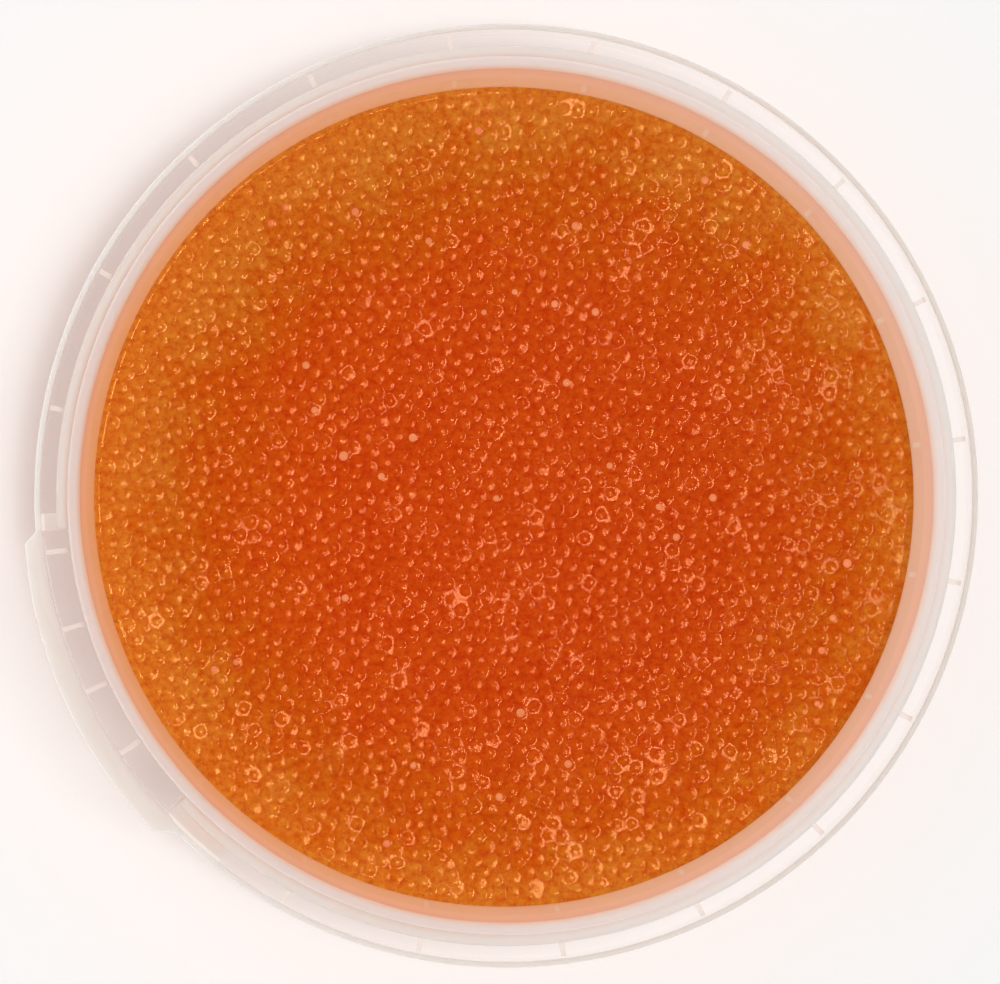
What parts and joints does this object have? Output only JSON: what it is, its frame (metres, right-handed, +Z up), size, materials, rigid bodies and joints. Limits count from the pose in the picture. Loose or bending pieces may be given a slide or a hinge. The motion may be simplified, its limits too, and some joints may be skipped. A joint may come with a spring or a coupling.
{
  "type": "tub of vendace roe",
  "caption": "Open round translucent plastic tub with a ribbed guard ring and tear-off tab, filled with orange fish roe to a nearly level surface.",
  "frame": {"origin": "under the tub's axis, on the surface that it stands on", "axes": "+Z up along the tub's axis; seen from above with +Y away, the tear-off tab is at the lower left"},
  "size_m": [0.0955, 0.0946, 0.05],
  "materials": {
    "milky_plastic": "translucent milky plastic, satin, thin enough for the roe's orange to show through the wall",
    "orange_roe": "wet translucent orange eggs in clear liquid, red-orange in the middle and golden towards the wall"
  },
  "bodies": {
    "root": {"tub": "milky_plastic", "roe": "orange_roe"}
  },
  "joints": []
}
